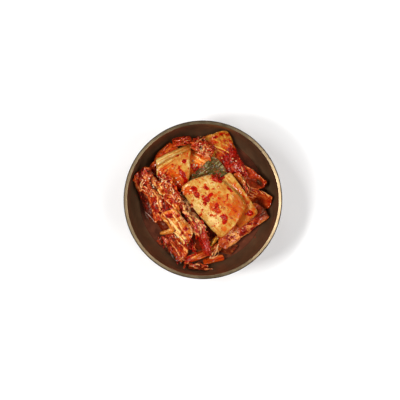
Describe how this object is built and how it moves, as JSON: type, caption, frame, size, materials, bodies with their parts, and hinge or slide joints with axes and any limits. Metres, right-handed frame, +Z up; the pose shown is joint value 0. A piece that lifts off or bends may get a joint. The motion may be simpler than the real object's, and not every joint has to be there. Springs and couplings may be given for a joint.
{
  "type": "kimchi in a brass side-dish bowl",
  "caption": "Cut napa cabbage kimchi heaped in a round brass side-dish bowl: pale curved stems, crumpled red leaves, shreds, chilli flakes and a little brine.",
  "frame": {"origin": "on the table, at the middle of the bowl's foot", "axes": "+Z up out of the bowl; +X runs to the right and +Y away from the eater, with the large front stem nearest"},
  "size_m": [0.126, 0.126, 0.044],
  "materials": {
    "brass": "aged, satin, browner inside",
    "brine": "dark red-brown brine, wet gloss",
    "pale_stem": "wet cabbage stem, cream with orange stain and red flakes",
    "orange_leaf": "wet stained cabbage leaf",
    "red_leaf": "wet cabbage leaf under red chilli paste",
    "dark_leaf": "wet dark red leaf in shade",
    "green_leaf": "wet dark green leaf",
    "red_shred": "wet shredded radish and cabbage in chilli paste"
  },
  "bodies": {
    "root": {"bowl": "brass", "brine": "brine", "kimchi_core": "red_leaf", "leaf_wall_left": "dark_leaf", "leaf_low_edge": "dark_leaf", "leaf_pale_low": "dark_leaf", "leaf_far_left": "red_leaf", "leaf_scrap_left": "dark_leaf", "leaf_low_left": "red_leaf", "stem_low_short": "orange_leaf", "leaf_curl_lower": "red_leaf", "leaf_curl_upper": "red_leaf", "leaf_top": "orange_leaf", "leaf_middle": "orange_leaf", "leaf_green": "green_leaf", "stem_low_long": "orange_leaf", "leaf_under_front": "red_leaf", "stem_sliver": "orange_leaf", "stem_back_under": "pale_stem", "stem_back": "pale_stem", "leaf_tip_back": "red_leaf", "shreds_top": "red_shred", "leaf_frilled": "red_leaf", "shreds_middle": "red_shred", "leaf_ribbed": "orange_leaf", "stem_finger": "orange_leaf", "leaf_strip_pale": "orange_leaf", "stem_front_under": "pale_stem", "stem_front": "pale_stem", "shreds_hanging": "red_shred", "shred_pale": "pale_stem"}
  },
  "joints": []
}
